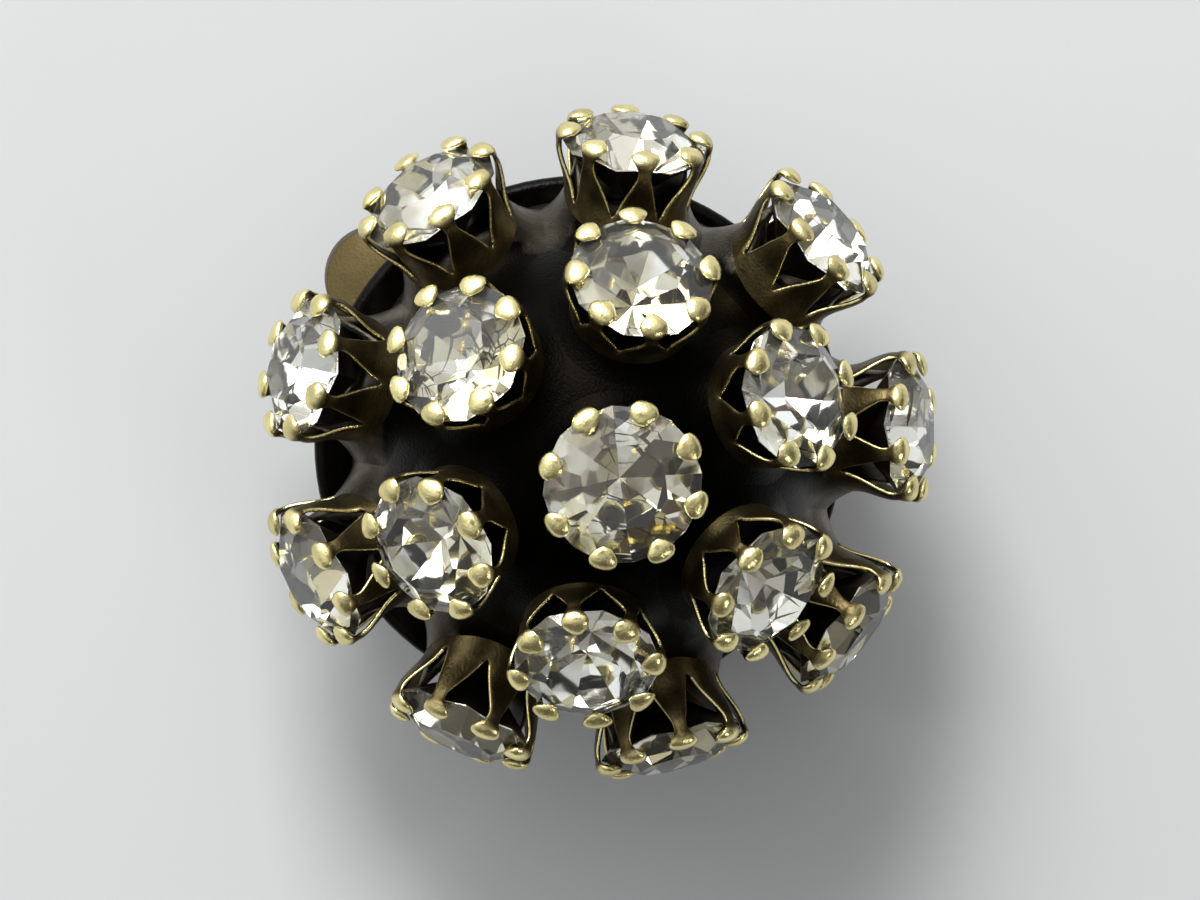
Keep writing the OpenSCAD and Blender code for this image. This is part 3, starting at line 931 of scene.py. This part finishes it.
def stone_points(stone_r, depth, rng):
    """Rings of corners from the table down: the table, the girdle's two edges, the pavilion."""
    half = math.cos(math.pi / FACETS)
    top, low = GIRDLE_T / 2 + CROWN_H, -GIRDLE_T / 2 - depth
    table_r = stone_r * TABLE_SHARE
    wave = stone_r * (1 - half)
    crown_slope = (top - GIRDLE_HIGH) / ((stone_r - table_r) * half)
    low_top = GIRDLE_HIGH - crown_slope * wave
    low_under = low_top - GIRDLE_EDGE
    pavilion_slope = (low_under - low) / (stone_r * half)
    high_under = low_under + pavilion_slope * wave
    middle_r = stone_r * PAVILION_MIDDLE
    middle_z = low + pavilion_slope * middle_r * half

    def spot(radius, turns, z):
        a = math.pi * turns / FACETS
        r = radius + rng.uniform(-CORNER_UNEVEN, CORNER_UNEVEN)
        return (r * math.cos(a), r * math.sin(a), z + rng.uniform(-CORNER_UNEVEN, CORNER_UNEVEN))

    points = [spot(table_r, 2 * k, top) for k in range(FACETS)]
    for high_z, low_z in ((GIRDLE_HIGH, low_top), (high_under, low_under)):
        for k in range(FACETS):
            points.append(spot(stone_r, 2 * k, high_z))
            points.append(spot(stone_r, 2 * k + 1, low_z))
    for k in range(FACETS):
        push = rng.uniform(-CUT_UNEVEN, CUT_UNEVEN)
        points.append(spot(middle_r, 2 * k + 1, middle_z + push))
    points.append(spot(CULET_R, 0, low))
    return points


sample = stone_points(STONE_R["inner"], PAVILION_H["inner"], random.Random(0))
print("corners", len(sample), "from", round(sample[0][2], 2), "to", round(sample[-1][2], 2), "mm")

# %% [markdown]
# The faces above the girdle's foot are glass and those under it are foil. On a real stone the foil
# is a film on the glass. A second skin so close would flicker where it touches the first, so the
# pavilion's own faces get the foil's material instead. Each of them also gets a random tone. A
# stone's tones are scaled by its foil's age and by painted shade, which is strongest on the lowest
# stones of the rim, so a few stones have black facets.

# %% Stones
CUT_SEEDS = {
    "centre": [200],
    "inner": [601, 702, 603, 804, 305, 106],
    "outer": [207, 108, 209, 510, 111, 112, 213, 814, 515],
}
# Per stone, a scale of the foil's tones: its age, and painted shade, highest on the lowest stones of
# the rim.
FOIL_AGES_AND_SHADE = {
    "centre": [1.2],
    "inner": [1, 0.6, 1.15, 1.25, 1, 1.12],
    "outer": [0.7, 0.8, 1.15, 1.25, 1.7, 1.8, 1.12, 1, 1],
}


def stone_faces():
    """The faces over those corners: of glass, and of foil."""
    over, under, middle, culet = FACETS, 3 * FACETS, 5 * FACETS, 6 * FACETS
    glass_faces = [tuple(range(FACETS))]
    foil_faces = []
    for k in range(FACETS):
        n, m = (k + 1) % FACETS, (k - 1) % FACETS
        a, b, c = 2 * k, 2 * k + 1, 2 * n
        glass_faces.append((k, n, over + c, over + b, over + a))
        glass_faces.append((over + a, over + b, under + b, under + a))
        glass_faces.append((over + b, over + c, under + c, under + b))
        foil_faces.append((middle + k, under + b, under + a))
        foil_faces.append((middle + k, under + c, under + b))
        foil_faces.append((middle + k, under + a, middle + m, culet))
    return glass_faces, foil_faces


def cut_stone(name, matrix, stone_r, depth, seed, age_and_shade):
    """A round cut stone of glass over foil."""
    rng = random.Random(seed)
    points = [matrix @ Vector(p) for p in stone_points(stone_r, depth, rng)]
    glass_faces, foil_faces = stone_faces()
    made = placed_mesh(name, points, glass_faces + foil_faces)
    made.data.materials.append(glass)
    made.data.materials.append(foil)
    tone = made.data.attributes.new("tone", "FLOAT", "FACE")
    for face in made.data.polygons[len(glass_faces):]:
        face.material_index = 1
        tone.data[face.index].value = rng.random() * age_and_shade
    faced_outwards(made)
    return made


stones = {}
for ring in TURNS:
    for i, (seed, age_and_shade) in enumerate(zip(CUT_SEEDS[ring], FOIL_AGES_AND_SHADE[ring])):
        node = stone_node(ring, i)
        name = node.replace("stone", "cut_stone")
        matrix = seats[node][1]
        stones[node] = cut_stone(name, matrix, STONE_R[ring], PAVILION_H[ring], seed, age_and_shade)
print("stones", len(stones), "of", len(stones["stone_centre"].data.polygons), "faces")

# %% [markdown]
# The back is simple sheet metal: a lacquered plate with two ears, a bent lever and a pin. Their
# shapes are already right in the model, but real edges are never sharp. So a copy of each gets its
# flat triangles merged, and a narrow bevel on the edges that are steeper than a set angle.

# %% Plate, lever and pin
EASED, LEVER_EASED, EASE_STEPS = 0.07, 0.15, 3
FLAT_ANGLE, EDGE_ANGLE, SHADE_ANGLE = 1, 40, 35


def eased_copy(node, name, width):
    """A copy of a model's piece with its triangles merged and its edges eased."""
    made = bpy.data.objects.new(name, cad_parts[node].data.copy())
    scene.collection.objects.link(made)
    made.data.materials.clear()
    bm = bmesh.new()
    bm.from_mesh(made.data)
    bmesh.ops.remove_doubles(bm, verts=bm.verts, dist=JOIN_DISTANCE * MM)
    bmesh.ops.dissolve_limit(bm, angle_limit=math.radians(FLAT_ANGLE), verts=bm.verts, edges=bm.edges)
    bm.to_mesh(made.data)
    bm.free()
    if "custom_normal" in made.data.attributes:
        made.data.attributes.remove(made.data.attributes["custom_normal"])
    ease = made.modifiers.new("eased", "BEVEL")
    ease.width = width * MM
    ease.segments = EASE_STEPS
    ease.limit_method = "ANGLE"
    ease.angle_limit = math.radians(EDGE_ANGLE)
    plain(made)
    made.data.shade_smooth()
    made.data.set_sharp_from_angle(angle=math.radians(SHADE_ANGLE))
    print(name, len(made.data.polygons), "faces")
    return made


plate = eased_copy("back_plate", "plate", EASED)
plate.data.materials.append(plate_metal)
lever = eased_copy("clip_lever", "lever", LEVER_EASED)
lever.data.materials.append(clip_metal)
pin = eased_copy("hinge_pin", "pin", EASED)
pin.data.materials.append(clip_metal)

# %% [markdown]
# Everything is soldered together but the lever, which turns on the pin. So all the pieces ride on
# the earring's body and the lever on the clip's. Each stands for the model's piece that it was
# fitted to, which is hidden.

# %% Ride on the bodies
for piece in [*cup_pieces, shell, collars]:
    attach(piece, "earring")
    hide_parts("claw_dome")
for node, stone in stones.items():
    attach(stone, "earring")
    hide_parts(node)
for piece, node, body, slot in (
    (plate, "back_plate", "earring", "black_metal"),
    (lever, "clip_lever", "clip", "clip_metal"),
    (pin, "hinge_pin", "earring", "clip_metal"),
):
    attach(piece, body)
    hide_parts(node)

# %% [markdown]
# The last step prints the box of what is shown, which should be nearly the same as the model's
# own box.

# %% Size of what is shown
low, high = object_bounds()
print("visual box", [round(x / MM, 2) for x in (*low, *high)])
